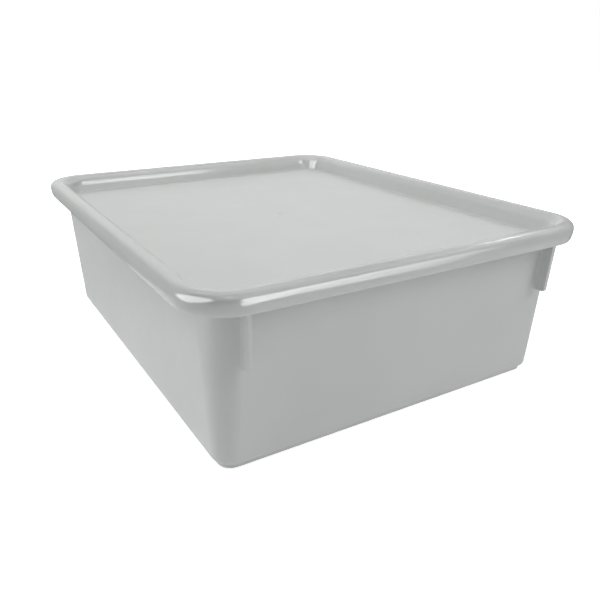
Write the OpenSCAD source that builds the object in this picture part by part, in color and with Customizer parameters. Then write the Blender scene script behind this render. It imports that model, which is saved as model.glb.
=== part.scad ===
// Shallow storage tote with a lift-off lid.
// The tote hangs its own rim over its walls; the lid's hollow bead presses down over that rim.
// Frame: +Z up, origin on the ground under the middle, finned short walls face -Y and +Y.

/* [Overall size] */
// Length of the lid over its bead, along Y
lid_length = 406; // [360:1:460]
// Width of the lid over its bead, along X
lid_width = 342; // [300:1:360]
// Height of the closed tote, from its foot to the crest of the lid's bead
closed_height = 134; // [120:1:160]
// Radius of the lid's outer corners, seen from above
corner_radius = 37.5; // [36:0.5:44]

/* [Tote walls] */
// Thickness of the tote's walls and rim
wall_thickness = 2; // [1.8:0.1:2.1]
// Thickness of the tote's floor
floor_thickness = 2.2; // [1.8:0.1:3]
// Lean of the walls away from upright, in degrees
draft = 3.9; // [3:0.1:4]
// Distance from the lid's outer edge in to the wall, just under the rim
wall_inset = 14.8; // [14.7:0.05:14.9]
// Radius of the outer edge where the walls turn under to the floor
base_radius = 3.6; // [3:0.1:4.2]

/* [Foot ring] */
// Height of the floor's underside above the ground
foot_height = 4.1; // [3.5:0.1:6]
// Distance from the turned-under edge in to the foot ring
foot_ledge = 0.5; // [0.3:0.1:1]
// Thickness of the foot ring
foot_thickness = 2.4; // [2:0.1:3]

/* [Tote rim] */
// Distance from the lid's outer edge in to the rim's outer face
rim_inset = 3.6; // [3.5:0.05:3.9]
// Height of the rim's open bottom edge below the crest of the lid's bead
rim_depth = 14.9; // [14.5:0.1:16]
// Gap between the rim and the inside of the lid's bead
rim_gap = 0.5; // [0.4:0.05:0.6]

/* [Nesting fins] */
// Thickness of a fin
fin_thickness = 3.6; // [2.5:0.1:5]
// Distance between the middles of the two fins on a short wall
fin_spacing = 266.4; // [180:0.1:270]
// Height of a fin's lower end above the ground
fin_bottom = 79; // [60:1:100]
// Distance that a fin stands out from the wall at its lower end
fin_reach = 8.8; // [6:0.1:9]

/* [Lid] */
// Thickness of the lid
lid_thickness = 1.8; // [1.7:0.05:1.9]
// Depth of the lid's panel below the crest of its bead
recess_depth = 16.5; // [16:0.1:17]
// Distance from the lid's outer edge in to the crest of its bead
crest_inset = 5.2; // [5:0.1:5.4]
// Distance from the crest in to the foot of the bead's inner curve
bead_inner_width = 11.3; // [11.2:0.05:11.4]
// Height of the bead's inner curve
bead_inner_height = 7.7; // [7.6:0.05:7.8]
// Height of the bead's outer curve above its widest line
bead_outer_height = 5.6; // [5.4:0.1:5.8]
// Height of the lid's lip below the crest
lip_depth = 14.6; // [14:0.1:14.8]
// Distance that the lip curls in under the widest line
lip_curl = 1.95; // [1.8:0.05:2]
// Lean of the recess wall and of the tote's flared mouth, in degrees
mouth_lean = 16; // [15:0.5:17]

/* [Hidden] */
$fn = 96;

// Straight steps in a quarter of a curved stretch
curve_steps = 8;

// Plan: the middle of each corner's arc, which every wall, rim and bead shares
corner_x = lid_width / 2 - corner_radius;
corner_y = lid_length / 2 - corner_radius;

// Heights of the lid
panel_top = closed_height - recess_depth;
panel_bottom = panel_top - lid_thickness;
inner_curve_base = closed_height - bead_inner_height;
widest_z = closed_height - bead_outer_height;
lip_z = closed_height - lip_depth;

// Lip: the part of an ellipse below the bead's widest line
lip_angle = acos((crest_inset - lip_curl) / crest_inset);
lip_curve_height = (widest_z - lip_z) / sin(lip_angle);

// Recess wall: it leaves the bead's inner curve where both have the same lean
recess_fillet = 1.6;
plug_round = 1.3;
panel_edge = 5;
recess_angle = atan(tan(mouth_lean) * bead_inner_height / bead_inner_width);
recess_start = on_ellipse(crest_inset, inner_curve_base,
    bead_inner_width, bead_inner_height, recess_angle);
recess_foot_z = panel_top + recess_fillet * (1 - sin(mouth_lean));
recess_foot_inset = leaning_inset(recess_start, recess_foot_z);
plug_foot_z = panel_bottom + plug_round * (1 - sin(mouth_lean));
plug_foot_inset = leaning_inset(recess_start, plug_foot_z) - lid_thickness / cos(mouth_lean);
panel_seam_inset = recess_foot_inset + panel_edge;

// Tote rim under the bead: its crest is flatter than the bead's, so it needs a little more gap
crest_relief = 0.2;
rim_top = closed_height - lid_thickness - rim_gap - crest_relief;
rim_bottom = closed_height - rim_depth;
rim_shoulder = 3.2;
rim_crest_inset = rim_inset + rim_shoulder;
rim_inner_width = crest_inset + bead_inner_width - lid_thickness - rim_gap - rim_crest_inset;
rim_inner_height = rim_top - inner_curve_base;

// Flared mouth: it leaves the rim's inner curve at the recess wall's lean, and meets the wall
mouth_angle = atan(tan(mouth_lean) * rim_inner_height / rim_inner_width);
mouth_outer = on_ellipse(rim_crest_inset, inner_curve_base,
    rim_inner_width - wall_thickness, rim_inner_height - wall_thickness, mouth_angle);
mouth_inner = on_ellipse(rim_crest_inset, inner_curve_base,
    rim_inner_width, rim_inner_height, mouth_angle);

// Tote wall, leaning in towards the floor
floor_top = foot_height + floor_thickness;
turn_z = foot_height + base_radius;
wall_foot_inset = wall_inset_at(turn_z);
wall_top = meeting(mouth_outer, wall_inset);
wall_inner_top = meeting(mouth_inner, wall_inset + wall_thickness);
floor_fillet = 2.4;
floor_edge = 2;
foot_outer_inset = wall_foot_inset + base_radius + foot_ledge;
foot_inner_inset = foot_outer_inset + foot_thickness;
floor_seam_inset = foot_inner_inset + floor_edge;

// Fins: rounding of the lower front corner, and how far the front edge runs into the rim's skirt and up it
fin_nose = 1.2;
fin_bite = 0.4;
fin_rise = 2.8;

// Point of an ellipse about [inset, z]: 180 degrees is outward, 90 is up, 0 is inward
function on_ellipse(inset, z, width, height, angle) =
    [inset + width * cos(angle), z + height * sin(angle)];

// Points of an elliptic arc about [inset, z]
function arc(inset, z, width, height, from, to) =
    [for (i = [0 : curve_steps])
        on_ellipse(inset, z, width, height, from + (to - from) * i / curve_steps)];

// Inset of the wall's outer face at height z, below the rim
function wall_inset_at(z) = wall_inset + (rim_bottom - z) * tan(draft);

// Inset at height z of a face that passes through a point with the mouth's lean
function leaning_inset(point, z) = point[0] + (point[1] - z) * tan(mouth_lean);

// Where that face meets a wall face whose inset at the rim's bottom is face_inset
function meeting(point, face_inset) =
    let (z = (leaning_inset(point, 0) - face_inset - rim_bottom * tan(draft))
            / (tan(mouth_lean) - tan(draft)))
    [leaning_inset(point, z), z];

// Lid's cross-section, as [inset from the lid's outer edge, height] pairs
lid_section = concat(
    // Outside: from the lip over the crest and down to the panel
    arc(crest_inset, widest_z, crest_inset, lip_curve_height, 180 + lip_angle, 180),
    arc(crest_inset, widest_z, crest_inset, bead_outer_height, 180, 90),
    arc(crest_inset, inner_curve_base, bead_inner_width, bead_inner_height,
        90, recess_angle),
    arc(recess_foot_inset + recess_fillet * cos(mouth_lean), panel_top + recess_fillet,
        recess_fillet, recess_fillet, 180 + mouth_lean, 270),
    [[panel_seam_inset, panel_top], [panel_seam_inset, panel_bottom]],
    // Underside: round the plug and up into the hollow of the bead
    arc(plug_foot_inset + plug_round * cos(mouth_lean), panel_bottom + plug_round,
        plug_round, plug_round, 270, 180 + mouth_lean),
    arc(crest_inset, inner_curve_base, bead_inner_width - lid_thickness,
        bead_inner_height - lid_thickness, recess_angle, 90),
    arc(crest_inset, widest_z, crest_inset - lid_thickness,
        bead_outer_height - lid_thickness, 90, 180),
    arc(crest_inset, widest_z, crest_inset - lid_thickness, lip_curve_height,
        180, 180 + lip_angle)
);

// Tote's cross-section, as [inset from the lid's outer edge, height] pairs
tote_section = concat(
    // Outside: foot ring, turned-under edge, wall, and the hollow under the rim
    [[foot_inner_inset, 0], [foot_outer_inset, 0], [foot_outer_inset, foot_height]],
    arc(wall_foot_inset + base_radius, turn_z, base_radius, base_radius, 270, 180),
    [wall_top],
    arc(rim_crest_inset, inner_curve_base, rim_inner_width - wall_thickness,
        rim_inner_height - wall_thickness, mouth_angle, 90),
    arc(rim_crest_inset, rim_top - rim_shoulder, rim_shoulder - wall_thickness,
        rim_shoulder - wall_thickness, 90, 180),
    // Rim's bottom edge, then up and over the rim
    [[rim_inset + wall_thickness, rim_bottom], [rim_inset, rim_bottom]],
    arc(rim_crest_inset, rim_top - rim_shoulder, rim_shoulder, rim_shoulder, 180, 90),
    arc(rim_crest_inset, inner_curve_base, rim_inner_width, rim_inner_height,
        90, mouth_angle),
    // Inside: down the wall and onto the floor
    [wall_inner_top],
    arc(wall_inset_at(floor_top + floor_fillet) + wall_thickness + floor_fillet,
        floor_top + floor_fillet, floor_fillet, floor_fillet, 180, 270),
    [[floor_seam_inset, floor_top], [floor_seam_inset, foot_height],
     [foot_inner_inset, foot_height]]
);

// One straight side of a loop: the section stands at half_span and runs along Y
module side_run(section, half_span, run) {
    rotate([90, 0, 0])
        linear_extrude(run, center = true)
            polygon([for (p = section) [half_span - p[0], p[1]]]);
}

// One corner of a loop: the section turned through a quarter circle
module corner_turn(section) {
    rotate_extrude(angle = 90)
        polygon([for (p = section) [corner_radius - p[0], p[1]]]);
}

// A section carried all the way round the rounded plan
module loop(section) {
    for (half_turn = [0, 180]) {
        rotate([0, 0, half_turn])
            side_run(section, lid_width / 2, 2 * corner_y);
        rotate([0, 0, half_turn + 90])
            side_run(section, lid_length / 2, 2 * corner_x);
        rotate([0, 0, half_turn]) {
            translate([corner_x, corner_y, 0])
                corner_turn(section);
            translate([-corner_x, corner_y, 0])
                rotate([0, 0, 90])
                    corner_turn(section);
        }
    }
}

// A flat plate with the loop's plan at the given inset
module plate(inset, bottom, thickness) {
    round_r = corner_radius - inset;
    translate([0, 0, bottom])
        linear_extrude(thickness)
            union() {
                square([2 * corner_x, 2 * (corner_y + round_r)], center = true);
                square([2 * (corner_x + round_r), 2 * corner_y], center = true);
                for (x = [-corner_x, corner_x], y = [-corner_y, corner_y])
                    translate([x, y])
                        circle(round_r);
            }
}

// Fin on the -Y wall: its side view, from inside the wall to its free front edge
module fin(x) {
    root = wall_thickness / 2;
    front_top = rim_inset + wall_thickness - fin_bite;
    front_bottom = wall_inset_at(fin_bottom) - fin_reach;
    side_view = concat(
        [[wall_inset_at(fin_bottom) + root, fin_bottom]],
        arc(front_bottom + fin_nose, fin_bottom + fin_nose, fin_nose, fin_nose, 270, 180),
        [[front_top, rim_bottom + fin_rise],
         [front_top, rim_top - rim_shoulder],
         mouth_outer + [root, 0],
         wall_top + [root, 0]]
    );
    translate([x, 0, 0])
        rotate([0, 0, -90])
            rotate([90, 0, 0])
                linear_extrude(fin_thickness, center = true)
                    polygon([for (p = side_view) [lid_length / 2 - p[0], p[1]]]);
}

module tote_body() {
    color([0.70, 0.71, 0.705]) {
        loop(tote_section);
        plate(floor_seam_inset, foot_height, floor_thickness);
        for (half_turn = [0, 180], x = [-fin_spacing / 2, fin_spacing / 2])
            rotate([0, 0, half_turn])
                fin(x);
    }
}

module lid() {
    color([0.74, 0.75, 0.745]) {
        loop(lid_section);
        plate(panel_seam_inset, panel_bottom, lid_thickness);
    }
}

tote_body();
lid();
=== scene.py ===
"""Shallow storage tote with a lift-off lid: its meshes, moulded-plastic materials, studio and camera."""
import math
from collections import namedtuple

import bmesh
import bpy
from mathutils import Matrix, Vector


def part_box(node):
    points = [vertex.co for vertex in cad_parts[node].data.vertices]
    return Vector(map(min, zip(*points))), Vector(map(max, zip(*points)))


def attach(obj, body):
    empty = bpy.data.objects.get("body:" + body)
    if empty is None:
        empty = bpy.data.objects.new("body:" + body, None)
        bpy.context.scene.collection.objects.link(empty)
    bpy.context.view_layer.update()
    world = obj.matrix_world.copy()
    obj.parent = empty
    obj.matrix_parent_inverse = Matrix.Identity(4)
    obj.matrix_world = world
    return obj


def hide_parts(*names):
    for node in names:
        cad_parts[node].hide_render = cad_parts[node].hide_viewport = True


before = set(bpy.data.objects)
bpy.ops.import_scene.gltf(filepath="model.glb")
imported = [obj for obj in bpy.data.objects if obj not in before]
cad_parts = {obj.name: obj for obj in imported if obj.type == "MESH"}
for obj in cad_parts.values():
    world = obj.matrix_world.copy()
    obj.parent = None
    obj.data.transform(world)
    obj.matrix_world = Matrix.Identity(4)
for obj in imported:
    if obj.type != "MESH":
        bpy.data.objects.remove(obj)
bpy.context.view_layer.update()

MM = 0.001  # sections are drawn in millimetres, and the meshes are made in metres

# ------------------------------------------------------------------ sizes, in millimetres
# A section point is (u, z): u is the distance in from the lid's outer edge, and z the height.
lid_low, lid_high = (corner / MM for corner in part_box("lid"))
tote_low, tote_high = (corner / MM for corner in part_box("tote_body"))
LENGTH = lid_high.y - lid_low.y
WIDTH = lid_high.x - lid_low.x
CREST_Z = lid_high.z
RIM_TOP = tote_high.z

CORNER_RADIUS = 37.5
CORNER_X = WIDTH / 2 - CORNER_RADIUS
CORNER_Y = LENGTH / 2 - CORNER_RADIUS

# Lid
LID_THICKNESS = 1.8
PANEL_TOP = CREST_Z - 16.5
PANEL_BOTTOM = PANEL_TOP - LID_THICKNESS
CREST_U = 5.2
# Width and height of the quarter ellipse that the bead's inner side follows down from its crest
BEAD_INNER = (11.3, 7.7)
BEAD_OUTER_HEIGHT = 5.6
INNER_BASE_Z = CREST_Z - BEAD_INNER[1]
WIDEST_Z = CREST_Z - BEAD_OUTER_HEIGHT
LIP_Z = CREST_Z - 14.6
LIP_CURL = 1.95
LIP_EDGE = 0.45
# A shallow band at the top of the recess wall: the bead's lean where it starts, its own lean, and its height
BAND_START = math.radians(27)
BAND_LEAN = math.radians(14.5)
BAND_HEIGHT = 4.2
RECESS_FILLET = 1.6
PLUG_ROUND = 1.3
PANEL_SAG = 0.3
# How far the section runs on over the panel before the flat plate takes over
PANEL_RUN = 5.0

# Tote
WALL = 2.0
# The walls' slope, and the mouth's lean from upright
DRAFT = math.tan(math.radians(3.9))
MOUTH = math.radians(16)
# Insets of the wall's outer face at the rim's bottom, and of the rim's skirt
WALL_U = 14.8
RIM_U = 3.6
RIM_BOTTOM = CREST_Z - 14.9
RIM_SHOULDER = 3.2
RIM_CREST_U = RIM_U + RIM_SHOULDER
# Width and height of the quarter ellipse that the rim's inner side follows down from its crest
RIM_INNER = (7.4, RIM_TOP - INNER_BASE_Z)
FOOT_HEIGHT = 4.1
FLOOR_TOP = FOOT_HEIGHT + 2.2
BASE_RADIUS = 3.6
FOOT_LEDGE = 0.5
FOOT_THICKNESS = 2.4
FOOT_ROUND = 0.5
FOOT_FILLET = 0.4
LEDGE_FILLET = 0.2
FLOOR_FILLET = 2.4
FLOOR_RUN = 2.0
MOUTH_ROUND = 5.0
SKIRT_OUTER_ROUND = 0.6
SKIRT_INNER_ROUND = 0.35
# Inward bow of the walls at its greatest, and how far under the rim's bottom it ends
WALL_BOW = 0.6
BOW_MARGIN = 3.0

# Fins
FIN_X = 133.2
FIN_HALF = 1.8
FIN_BOTTOM = 79.0
FIN_REACH = 8.8
FIN_NOSE = 1.2
# Height of the stretch under the rim where the rings of the rim's hollow run over a fin's front
FIN_CROWD = 2.5
# How a fin rises out of the wall: (distance outside its edge, share of its full reach)
FIN_EDGE = ((1.1, 0.0), (0.5, 0.012), (0.15, 0.04), (0.03, 0.1), (0.0, 0.85),
            (-0.08, 0.96), (-0.25, 0.988), (-0.6, 1.0), (-1.2, 1.0))
# Space between a fin's columns and the even ones beside them, along the side and round the corner
FIN_SPACE = 1.0
FIN_SPACE_ANGLE = 0.04
# A column carries a fin only if at least this much of its direction is along Y
FIN_FACING = 0.9
# Radius of the wall's corner where a fin's columns are laid out, half way up the fin
FIN_RADIUS = CORNER_RADIUS - WALL_U - (RIM_BOTTOM - FIN_BOTTOM) / 2 * DRAFT

# Mesh steps
SIDE_STEPS = 14
CORNER_STEPS = 18
WALL_STEP = 8.0
# Rings of a flat plate outside its gate mark, as shares of the way out to its edge
PLATE_SHARES = (0.04, 0.12, 0.25, 0.4, 0.55, 0.7, 0.85, 0.95)

# Gate marks, as (radius, height above the plate): a stub of plastic in a shallow dish
LID_GATE = ((1.2, 0.35), (1.5, 0.3), (1.8, 0.0), (2.4, -0.15), (3.6, -0.2),
            (4.4, -0.15), (5.2, -0.05), (6, 0), (9, 0))
TOTE_GATE = ((1.2, -0.8), (1.45, -0.65), (1.6, 0), (1.9, 0.3), (4, 0.35), (5, 0.1), (6, 0), (9, 0))
PLAIN_GATE = ((2, 0), (6, 0))


# ------------------------------------------------------------------ section tools
def curve(u, z, width, height, start, end, steps):
    """Points of an elliptic arc about (u, z): 180 degrees points outward, 90 up and 0 inward."""
    angles = (math.radians(start + (end - start) * i / steps) for i in range(steps + 1))
    return [(u + width * math.cos(a), z + height * math.sin(a)) for a in angles]


def softened(points, steps=4):
    """The same points with each (u, z, radius) corner turned into an arc between its neighbours."""
    result = []
    for i, point in enumerate(points):
        if len(point) == 2:
            result.append(point)
            continue
        corner = Vector(point[:2])
        back = (Vector(points[i - 1][:2]) - corner).normalized()
        onward = (Vector(points[i + 1][:2]) - corner).normalized()
        half = back.angle(onward) / 2
        centre = corner + (back + onward).normalized() * (point[2] / math.sin(half))
        start = corner + back * (point[2] / math.tan(half)) - centre
        end = corner + onward * (point[2] / math.tan(half)) - centre
        turn = math.atan2(start.x * end.y - start.y * end.x, start.dot(end))
        for k in range(steps + 1):
            spoke = Matrix.Rotation(turn * k / steps, 2) @ start
            result.append(tuple(centre + spoke))
    return result


def divided(points, longest=14.0, margin=0.5):
    """The same points with extra ones on long straight stretches, close to each end and evenly between."""
    result = [points[0]]
    for before, after in zip(points, points[1:]):
        a, b = Vector(before), Vector(after)
        length = (b - a).length
        if length > 5 * margin:
            pieces = max(1, math.ceil((length - 2 * margin) / longest))
            inner = [margin + (length - 2 * margin) * i / pieces for i in range(pieces + 1)]
            result += [tuple(a.lerp(b, d / length)) for d in inner]
        result.append(after)
    return result


def wall_u(z):
    """Inset of the tote wall's outer face at height z."""
    return WALL_U + (RIM_BOTTOM - z) * DRAFT


def meeting(point, face_u):
    """Where the mouth's slope through a point meets a wall face that is face_u in at the rim's bottom."""
    slope = math.tan(MOUTH)
    z = (point[0] + point[1] * slope - face_u - RIM_BOTTOM * DRAFT) / (slope - DRAFT)
    return (point[0] + (point[1] - z) * slope, z)


# A ring of the mesh. bow is how far it draws in at the middle of each side. fin is None, or what the
# ring does where it runs over a fin: (share of the way out to the fin's front, front's u, front's z,
# u of the fin's root).
Row = namedtuple("Row", "u z bow fin")


def wall_bow(u, z):
    """Inward bow of the long and short walls, greatest half way up."""
    rise = (z - FLOOR_TOP) / (RIM_BOTTOM - BOW_MARGIN - FLOOR_TOP)
    return WALL_BOW * math.sin(math.pi * rise) if 0 < rise < 1 and u >= WALL_U else 0.0


def fin_share(outside):
    """Share of a fin's reach at a distance outside its edge."""
    edge = sorted(FIN_EDGE)
    if outside <= edge[0][0]:
        return 1.0
    for (d0, s0), (d1, s1) in zip(edge, edge[1:]):
        if outside <= d1:
            return s0 + (s1 - s0) * (outside - d0) / (d1 - d0)
    return 0.0


def fin_front(z):
    """Inset of a fin's front edge at height z, rounded at its lower end."""
    low, high = wall_u(FIN_BOTTOM) - FIN_REACH, RIM_U + WALL
    u = low + (high - low) * (z - FIN_BOTTOM) / (RIM_BOTTOM - FIN_BOTTOM)
    short = FIN_NOSE - (z - FIN_BOTTOM)
    return u + (FIN_NOSE - math.sqrt(FIN_NOSE**2 - short**2) if short > 0 else 0.0)


# ------------------------------------------------------------------ the two sections
def lid_section():
    """From the panel's flat top, out over the bead, under it, and back to the panel's flat underside."""
    slope = math.tan(MOUTH)
    lip = math.degrees(math.acos((CREST_U - LIP_CURL) / CREST_U))
    lip_height = (WIDEST_Z - LIP_Z) / math.sin(math.radians(lip))
    inner_angle = math.degrees(math.atan(slope * BEAD_INNER[1] / BEAD_INNER[0]))
    start = curve(CREST_U, INNER_BASE_Z, *BEAD_INNER, inner_angle, 90, 1)[0]
    recess_foot = (start[0] + (start[1] - PANEL_TOP) * slope, PANEL_TOP)
    plug_u = start[0] + (start[1] - PANEL_BOTTOM) * slope - LID_THICKNESS / math.cos(MOUTH)
    hollow = (BEAD_INNER[0] - LID_THICKNESS, BEAD_INNER[1] - LID_THICKNESS)
    hollow_u = CREST_U - LID_THICKNESS
    lip_outer = curve(CREST_U, WIDEST_Z, CREST_U, lip_height, 180, 180 + lip, 10)
    lip_inner = curve(CREST_U, WIDEST_Z, hollow_u, lip_height, 180 + lip, 180, 10)
    band_angle = math.degrees(math.atan(math.tan(BAND_START) * BEAD_INNER[1] / BEAD_INNER[0]))
    bead_inner = curve(CREST_U, INNER_BASE_Z, *BEAD_INNER, band_angle, 90, 20)
    band_foot = (bead_inner[0][0] + BAND_HEIGHT * math.tan(BAND_LEAN), bead_inner[0][1] - BAND_HEIGHT)
    points = [(recess_foot[0] + PANEL_RUN, PANEL_TOP), (*recess_foot, RECESS_FILLET), band_foot]
    points += bead_inner
    points += curve(CREST_U, WIDEST_Z, CREST_U, BEAD_OUTER_HEIGHT, 90, 180, 18)[1:]
    points += lip_outer[1:-1] + [(*lip_outer[-1], LIP_EDGE), (*lip_inner[0], LIP_EDGE)] + lip_inner[1:]
    points += curve(CREST_U, WIDEST_Z, hollow_u, BEAD_OUTER_HEIGHT - LID_THICKNESS, 180, 90, 10)[1:]
    points += curve(CREST_U, INNER_BASE_Z, *hollow, 90, inner_angle, 14)[1:]
    points += [(plug_u, PANEL_BOTTOM, PLUG_ROUND), (recess_foot[0] + PANEL_RUN, PANEL_BOTTOM)]
    return [Row(u, z, 0.0, None) for u, z in divided(softened(points))]


def tote_section():
    """From the floor's flat top, up the inside, over the rim, down the outside, and under to the floor."""
    inner_angle = math.degrees(math.atan(math.tan(MOUTH) * RIM_INNER[1] / RIM_INNER[0]))
    arch = (RIM_INNER[0] - WALL, RIM_INNER[1] - WALL)
    arch_shoulder = RIM_SHOULDER - WALL
    shoulder_z = RIM_TOP - RIM_SHOULDER
    mouth_inner = curve(RIM_CREST_U, INNER_BASE_Z, *RIM_INNER, inner_angle, 90, 14)
    inner_top = meeting(mouth_inner[0], WALL_U + WALL)
    foot_outer = wall_u(FOOT_HEIGHT + BASE_RADIUS) + BASE_RADIUS + FOOT_LEDGE
    foot_inner = foot_outer + FOOT_THICKNESS
    skirt_foot = (RIM_U + WALL, RIM_BOTTOM)
    turn = (wall_u(FOOT_HEIGHT), FOOT_HEIGHT)

    shell = [(foot_inner + FLOOR_RUN, FLOOR_TOP), (wall_u(FLOOR_TOP) + WALL, FLOOR_TOP, FLOOR_FILLET)]
    shell += [(*inner_top, MOUTH_ROUND)] + mouth_inner
    shell += curve(RIM_CREST_U, shoulder_z, RIM_SHOULDER, RIM_SHOULDER, 90, 180, 10)[1:]
    shell += [(RIM_U, RIM_BOTTOM, SKIRT_OUTER_ROUND)]
    hollow = [(*skirt_foot, SKIRT_INNER_ROUND)]
    hollow += curve(RIM_CREST_U, shoulder_z, arch_shoulder, arch_shoulder, 180, 90, 6)
    hollow += curve(RIM_CREST_U, INNER_BASE_Z, *arch, 90, inner_angle, 8)[1:]
    hollow += [(*meeting(hollow[-1], WALL_U), MOUTH_ROUND)]
    base = [
        (*turn, BASE_RADIUS),
        (foot_outer, FOOT_HEIGHT, LEDGE_FILLET),
        (foot_outer, 0.0, FOOT_ROUND),
        (foot_inner, 0.0, FOOT_ROUND),
        (foot_inner, FOOT_HEIGHT, FOOT_FILLET),
        (foot_inner + FLOOR_RUN, FOOT_HEIGHT),
    ]
    shell = divided(softened(shell + [skirt_foot])[:-1])
    hollow = divided(softened([(RIM_U, RIM_BOTTOM)] + hollow + [turn])[1:-1])
    base = divided(softened(hollow[-1:] + base)[1:])
    return shell_rows(shell) + hollow_rows(hollow) + wall_rows(hollow[-1][1], base[0][1]) + shell_rows(base)


def shell_rows(points):
    """The stretches of the tote's section that no fin touches."""
    return [Row(u, z, wall_bow(u, z), None) for u, z in points]


def hollow_rows(points):
    """The underside of the rim. On a fin these rings crowd together at the top of its front edge."""
    rows = []
    for i, (u, z) in enumerate(points):
        front_z = RIM_BOTTOM - FIN_CROWD * i / len(points)
        rows.append(Row(u, z, wall_bow(u, z), (1.0, fin_front(front_z), front_z, WALL_U)))
    return rows


def wall_rows(top, bottom):
    """The wall's outer face, with close rings where the fins end."""
    steps = round((top - bottom) / WALL_STEP)
    heights = [top + (bottom - top) * i / steps for i in range(1, steps)]
    heights = [z for z in heights if abs(z - FIN_BOTTOM) > WALL_STEP / 2]
    heights += [FIN_BOTTOM - outside for outside, _ in FIN_EDGE]
    rows = []
    for z in sorted(heights, reverse=True):
        front_z = max(z, FIN_BOTTOM)
        fin = (fin_share(FIN_BOTTOM - z), fin_front(front_z), front_z, wall_u(z))
        rows.append(Row(wall_u(z), z, wall_bow(wall_u(z), z), fin))
    return rows


# ------------------------------------------------------------------ plan
def quarter(with_fin):
    """Plan columns of one quarter, from the middle of a long side to the middle of a short side.

    A column is (x, y, direction, along). The face at inset u is at (x, y) + direction * (radius - u), and
    along is how far the column stands from its side's middle, as a share of the straight run."""
    columns = [(CORNER_X, CORNER_Y * ease(i / SIDE_STEPS), Vector((1, 0)), ease(i / SIDE_STEPS))
               for i in range(SIDE_STEPS)]
    fin_xs = [FIN_X + side * (FIN_HALF + outside) for outside, _ in FIN_EDGE for side in (-1, 1)]
    fin_xs = sorted(set(fin_xs + [FIN_X]), reverse=True) if with_fin else []
    in_corner = [x for x in fin_xs if x > CORNER_X]
    fin_angles = [math.acos((x - CORNER_X) / FIN_RADIUS) for x in in_corner]
    last = fin_angles[0] - FIN_SPACE_ANGLE if with_fin else math.pi / 2
    for angle in [last * i / CORNER_STEPS for i in range(CORNER_STEPS + 1)] + fin_angles:
        columns.append((CORNER_X, CORNER_Y, Vector((math.cos(angle), math.sin(angle))), 1.0))
    on_side = [x for x in fin_xs if x <= CORNER_X]
    start = on_side[-1] - FIN_SPACE if with_fin else CORNER_X
    on_side += [start * ease(1 - i / SIDE_STEPS) for i in range(0 if with_fin else 1, SIDE_STEPS + 1)]
    columns += [(x, CORNER_Y, Vector((0, 1)), x / CORNER_X) for x in on_side]
    return columns


def ease(t):
    """Spreads steps along a straight run so that they crowd towards the corner."""
    return math.sin(math.pi / 2 * t)


def plan(with_fin):
    """Plan columns all the way round, anticlockwise from the middle of the +X side."""
    def mirrored(columns, sx, sy):
        return [(x * sx, y * sy, Vector((d.x * sx, d.y * sy)), along) for x, y, d, along in columns]

    first = quarter(with_fin)
    half = first + mirrored(first, -1, 1)[::-1][1:]
    return half + mirrored(half, 1, -1)[::-1][1:-1]


# ------------------------------------------------------------------ meshes
def placed(row, column):
    """Where a row crosses a column."""
    x, y, direction, along = column
    out = CORNER_RADIUS - row.u - row.bow * (1 - along**2)
    point = Vector((x + direction.x * out, y + direction.y * out, row.z))
    from_fin = abs(x + direction.x * FIN_RADIUS) - FIN_X
    if row.fin is None or abs(direction.y) < FIN_FACING or abs(from_fin) > FIN_HALF + FIN_EDGE[0][0]:
        return point
    share, front_u, front_z, root_u = row.fin
    front = Vector((
        x + direction.x * (CORNER_RADIUS - root_u),
        math.copysign(LENGTH / 2 - front_u, direction.y),
        front_z,
    ))
    return point.lerp(front, share * fin_share(abs(from_fin) - FIN_HALF))


def plate_rings(edge, gate, z, sag):
    """Rings of a flat plate, from the gate mark in its middle out to its edge."""
    radius = gate[-1][0]
    rings = [[(*(p.xy.normalized() * r), z + rise - sag) for p in edge] for r, rise in gate]
    for share in PLATE_SHARES:
        height = z - sag * (1 - share**2)
        rings.append([(*(p.xy * share + p.xy.normalized() * radius * (1 - share)), height) for p in edge])
    return rings


def swept(name, rows, columns, top_gate, under_gate, sag):
    """A closed mesh: the rows carried round the plan, with a flat plate across the first row and the last."""
    edges = [[placed(rows[i], column) for column in columns] for i in (0, -1)]
    rings = plate_rings(edges[0], top_gate, rows[0].z, sag)
    rings += [[placed(row, column) for column in columns] for row in rows]
    rings += plate_rings(edges[1], under_gate, rows[-1].z, sag)[::-1]
    count = len(columns)
    verts = [point for ring in rings for point in ring]
    faces = []
    for start in range(0, len(verts) - count, count):
        for i in range(count):
            j = (i + 1) % count
            faces.append((start + i, start + j, start + count + j, start + count + i))
    for start in (0, len(verts) - count):
        verts.append((0, 0, verts[start][2]))
        faces += [(start + i, start + (i + 1) % count, len(verts) - 1) for i in range(count)]

    mesh = bpy.data.meshes.new(name)
    mesh.from_pydata([Vector(v) * MM for v in verts], [], faces)
    shell = bmesh.new()
    shell.from_mesh(mesh)
    bmesh.ops.recalc_face_normals(shell, faces=shell.faces)
    shell.to_mesh(mesh)
    shell.free()
    mesh.shade_smooth()
    obj = bpy.data.objects.new(name, mesh)
    bpy.context.scene.collection.objects.link(obj)
    return obj


lid = swept("storage_lid", lid_section(), plan(False), LID_GATE, PLAIN_GATE, PANEL_SAG)
tote = swept("storage_tote", tote_section(), plan(True), PLAIN_GATE, TOTE_GATE, 0.0)


# ------------------------------------------------------------------ materials
LID_GREY = (0.555, 0.567, 0.560)
TOTE_GREY = (0.545, 0.558, 0.552)
REFRACTION = 1.49
# Where the noise's middle range starts and ends, and how far it moves the tone and the roughness
NOISE_RANGE = (0.3, 0.7)
TONE_SPREAD = 0.015
ROUGH_SPREAD = 0.02
GRAIN_STRENGTH = 0.05
GRAIN_DEPTH = 0.0001


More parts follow.
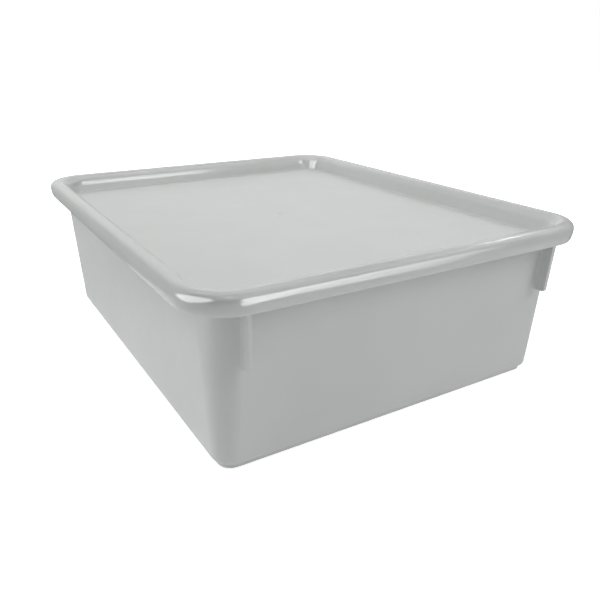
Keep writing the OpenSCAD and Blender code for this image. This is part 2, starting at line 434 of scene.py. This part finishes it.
def plastic(name, colour, satin, polished, polish_from, polish_to):
    """Moulded plastic with a faint grain.

    satin is its roughness below the height polish_from, and polished its roughness above polish_to."""
    material = bpy.data.materials.new(name)
    material.use_nodes = True
    nodes, links = material.node_tree.nodes, material.node_tree.links
    shader = nodes["Principled BSDF"]
    shader.inputs["IOR"].default_value = REFRACTION
    place = nodes.new("ShaderNodeTexCoord")
    height = nodes.new("ShaderNodeSeparateXYZ")
    links.new(place.outputs["Object"], height.inputs[0])

    def noise(scale, detail):
        node = nodes.new("ShaderNodeTexNoise")
        node.inputs["Scale"].default_value = scale
        node.inputs["Detail"].default_value = detail
        links.new(place.outputs["Object"], node.inputs["Vector"])
        return node.outputs["Fac"]

    def ranged(source, low, high, to_low, to_high):
        node = nodes.new("ShaderNodeMapRange")
        for key, value in zip(("From Min", "From Max", "To Min", "To Max"), (low, high, to_low, to_high)):
            node.inputs[key].default_value = value
        links.new(source, node.inputs["Value"])
        return node.outputs["Result"]

    tone = nodes.new("ShaderNodeMixRGB")
    tone.inputs["Color1"].default_value = (*[c * (1 - TONE_SPREAD) for c in colour], 1)
    tone.inputs["Color2"].default_value = (*[c * (1 + TONE_SPREAD) for c in colour], 1)
    links.new(ranged(noise(scale=18, detail=3), *NOISE_RANGE, 0, 1), tone.inputs["Fac"])
    links.new(tone.outputs["Color"], shader.inputs["Base Color"])

    gloss = ranged(height.outputs["Z"], polish_from * MM, polish_to * MM, satin, polished)
    rough = nodes.new("ShaderNodeMath")
    rough.operation = "ADD"
    links.new(gloss, rough.inputs[0])
    unevenness = ranged(noise(scale=60, detail=2), *NOISE_RANGE, -ROUGH_SPREAD, ROUGH_SPREAD)
    links.new(unevenness, rough.inputs[1])
    links.new(rough.outputs[0], shader.inputs["Roughness"])

    grain = nodes.new("ShaderNodeBump")
    grain.inputs["Strength"].default_value = GRAIN_STRENGTH
    grain.inputs["Distance"].default_value = GRAIN_DEPTH
    links.new(noise(scale=900, detail=2), grain.inputs["Height"])
    links.new(grain.outputs["Normal"], shader.inputs["Normal"])
    return material


lid_finish = plastic("lid_plastic", LID_GREY, satin=0.45, polished=0.14,
                     polish_from=PANEL_TOP + 0.3, polish_to=PANEL_TOP + 2)
tote_finish = plastic("tote_plastic", TOTE_GREY, satin=0.38, polished=0.20,
                      polish_from=RIM_BOTTOM - 1, polish_to=RIM_BOTTOM)
lid.data.materials.append(lid_finish)
tote.data.materials.append(tote_finish)

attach(lid, "lid")
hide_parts("lid")
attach(tote, "tote")
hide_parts("tote_body")


# ------------------------------------------------------------------ studio
# The point that the lights are aimed at, and half the width of the table, in metres
AIM = Vector((0, 0, 0.09))
FLOOR_HALF = 6.0
# Light that the table gives the plastic near the tote and further out, and the radii between which it drops
FLOOR_GLOW_NEAR = 0.34
FLOOR_GLOW = 0.18
GLOW_DROP = (0.25, 0.45)
# Light that the table adds for the camera near the tote, and the radii between which it rises to full white
FLOOR_WHITE = 0.6
WHITE_RISE = (0.4, 1.2)
# What the plastic's gloss shows beside the softboxes: the table's brightness, the sine of the elevation
# where the table ends, the width of the blur below that, and the brightness of the room above it
TABLE_SHEEN = 0.7
TABLE_EDGE = -0.38
TABLE_BLUR = 0.04
ROOM_FILL = 0.2


def make_floor():
    """A white table. Gloss looks through it, so that the softboxes show whole in the plastic."""
    mesh = bpy.data.meshes.new("studio_floor")
    corners = [(x * FLOOR_HALF, y * FLOOR_HALF, 0) for x, y in ((-1, -1), (1, -1), (1, 1), (-1, 1))]
    mesh.from_pydata(corners, [], [(0, 1, 2, 3)])
    floor = bpy.data.objects.new("studio_floor", mesh)
    floor.visible_glossy = False
    bpy.context.scene.collection.objects.link(floor)
    material = bpy.data.materials.new("floor_white")
    material.use_nodes = True
    nodes, links = material.node_tree.nodes, material.node_tree.links
    shader = nodes["Principled BSDF"]
    shader.inputs["Base Color"].default_value = (0.9, 0.9, 0.9, 1)
    shader.inputs["Roughness"].default_value = 1.0
    shader.inputs["Specular IOR Level"].default_value = 0.0
    shader.inputs["Emission Color"].default_value = (1, 1, 1, 1)
    place = nodes.new("ShaderNodeTexCoord")
    radius = nodes.new("ShaderNodeVectorMath")
    radius.operation = "LENGTH"
    links.new(place.outputs["Object"], radius.inputs[0])

    def fading(radii, at_near, at_far):
        ramp = nodes.new("ShaderNodeMapRange")
        for key, value in zip(("From Min", "From Max", "To Min", "To Max"), (*radii, at_near, at_far)):
            ramp.inputs[key].default_value = value
        links.new(radius.outputs["Value"], ramp.inputs["Value"])
        return ramp.outputs["Result"]

    path = nodes.new("ShaderNodeLightPath")
    glow = nodes.new("ShaderNodeMix")
    links.new(path.outputs["Is Camera Ray"], glow.inputs["Factor"])
    links.new(fading(GLOW_DROP, FLOOR_GLOW_NEAR, FLOOR_GLOW), glow.inputs["A"])
    links.new(fading(WHITE_RISE, FLOOR_WHITE, 1.0), glow.inputs["B"])
    links.new(glow.outputs["Result"], shader.inputs["Emission Strength"])
    mesh.materials.append(material)


def softbox(name, azimuth, elevation, width, height, strength, distance=1.5, gloss=False, roll=0, fade=1,
            shape="RECTANGLE"):
    """A flat light aimed at the object. Azimuth runs clockwise from +Y as seen from above.

    It gives diffuse light only, or with gloss on it shows in gloss only. Angles are in degrees, and roll
    turns it about its own axis. strength is a rectangle's radiance at one side, and at the other side
    that is multiplied by fade."""
    a, e = math.radians(azimuth), math.radians(elevation)
    direction = Vector((math.sin(a) * math.cos(e), math.cos(a) * math.cos(e), math.sin(e)))
    light = bpy.data.lights.new(name, "AREA")
    light.shape = shape
    light.size, light.size_y = width, height
    # the radiance of a rectangle is its power over four times its area
    light.energy = strength * width * height * 4
    if fade != 1:
        light.use_nodes = True
        nodes, links = light.node_tree.nodes, light.node_tree.links
        place = nodes.new("ShaderNodeNewGeometry")
        across = nodes.new("ShaderNodeSeparateXYZ")
        links.new(place.outputs["Parametric"], across.inputs[0])
        ramp = nodes.new("ShaderNodeMapRange")
        ramp.inputs["To Min"].default_value = 1
        ramp.inputs["To Max"].default_value = fade
        links.new(across.outputs["X"], ramp.inputs["Value"])
        links.new(ramp.outputs["Result"], nodes["Emission"].inputs["Strength"])
    obj = bpy.data.objects.new(name, light)
    turn = direction.to_track_quat("Z", "Y").to_matrix().to_4x4()
    spin = Matrix.Rotation(math.radians(roll), 4, "Z")
    obj.matrix_world = Matrix.Translation(AIM + direction * distance) @ turn @ spin
    obj.visible_camera = False
    obj.visible_diffuse = not gloss
    obj.visible_glossy = gloss
    bpy.context.scene.collection.objects.link(obj)


def make_world():
    """White to the camera. The plastic sees a bright table below and an evenly dim room above it."""
    world = bpy.data.worlds.new("studio_white")
    world.use_nodes = True
    nodes, links = world.node_tree.nodes, world.node_tree.links
    seen = nodes["Background"]
    seen.inputs["Color"].default_value = (1, 1, 1, 1)
    seen.inputs["Strength"].default_value = 1.0
    fill = nodes.new("ShaderNodeBackground")
    fill.inputs["Color"].default_value = (1, 1, 1, 1)
    place = nodes.new("ShaderNodeTexCoord")
    height = nodes.new("ShaderNodeSeparateXYZ")
    links.new(place.outputs["Generated"], height.inputs[0])
    table = nodes.new("ShaderNodeMapRange")
    for key, value in (("From Min", TABLE_EDGE - TABLE_BLUR), ("From Max", TABLE_EDGE),
                       ("To Min", TABLE_SHEEN), ("To Max", ROOM_FILL)):
        table.inputs[key].default_value = value
    links.new(height.outputs["Z"], table.inputs["Value"])
    links.new(table.outputs["Result"], fill.inputs["Strength"])
    path = nodes.new("ShaderNodeLightPath")
    mix = nodes.new("ShaderNodeMixShader")
    links.new(path.outputs["Is Camera Ray"], mix.inputs["Fac"])
    links.new(fill.outputs[0], mix.inputs[1])
    links.new(seen.outputs[0], mix.inputs[2])
    links.new(mix.outputs[0], nodes["World Output"].inputs["Surface"])
    bpy.context.scene.world = world


def make_camera():
    """The photograph's camera: turned right of +Y by yaw, tipped down by pitch, in radians."""
    place = (-0.2824, -0.4917, 0.2608)
    yaw, pitch, roll = 0.5373, 0.3491, 0.0042
    data = bpy.data.cameras.new("photo_camera")
    data.sensor_width = 36
    data.lens = 37.48
    data.shift_x = 0.0168
    data.shift_y = -0.0381
    data.clip_start = 0.01
    camera = bpy.data.objects.new("photo_camera", data)
    turn = (Matrix.Rotation(-yaw, 4, "Z") @ Matrix.Rotation(math.pi / 2 - pitch, 4, "X")
            @ Matrix.Rotation(roll, 4, "Z"))
    camera.matrix_world = Matrix.Translation(place) @ turn
    bpy.context.scene.collection.objects.link(camera)
    bpy.context.scene.camera = camera


make_floor()
make_world()
make_camera()
# name, azimuth, elevation, width, height, strength
softbox("top_light", 0, 88, 1.4, 1.4, 0.85)
softbox("back_left_high", -45, 40, 0.7, 0.6, 4.4)
softbox("back_left_low", -57, 9, 0.6, 0.4, 3.8)
softbox("back_left_inner", -30, 9, 0.6, 0.4, 1.6)
softbox("back_high", 36, 40, 0.8, 0.6, 2.6)
softbox("back_low", 34, 9, 0.7, 0.4, 3.0)
softbox("front_right_light", 137, 36, 0.7, 0.7, 3.5)
softbox("overhead_gloss", 0, 89, 1.6, 1.6, 1.45, gloss=True)
softbox("high_right_gloss", 90, 45, 1.4, 1.0, 0.7, gloss=True)
softbox("high_left_gloss", -60, 40, 1.2, 1.0, 0.4, gloss=True)
softbox("back_gloss", 20, 20, 2.2, 0.9, 0.45, gloss=True)
softbox("front_high_gloss", 165, 42, 2.6, 0.9, 1.8, gloss=True)
softbox("left_gloss", -98, 8, 2.2, 1.4, 5.4, gloss=True, roll=35, shape="ELLIPSE")
softbox("right_gloss_near", 167, -4, 1.75, 3.6, 8.4, distance=4, gloss=True)
softbox("right_gloss_far", 144.5, -5.5, 1.45, 3.0, 7.8, distance=4, gloss=True, fade=0.35)
softbox("line_gloss", 91, 41, 0.32, 0.05, 20.0, gloss=True, roll=-20)
softbox("speck_gloss", -158, 49, 0.4, 0.2, 6.0, distance=1.7, gloss=True)
bpy.context.scene.view_settings.view_transform = "Standard"
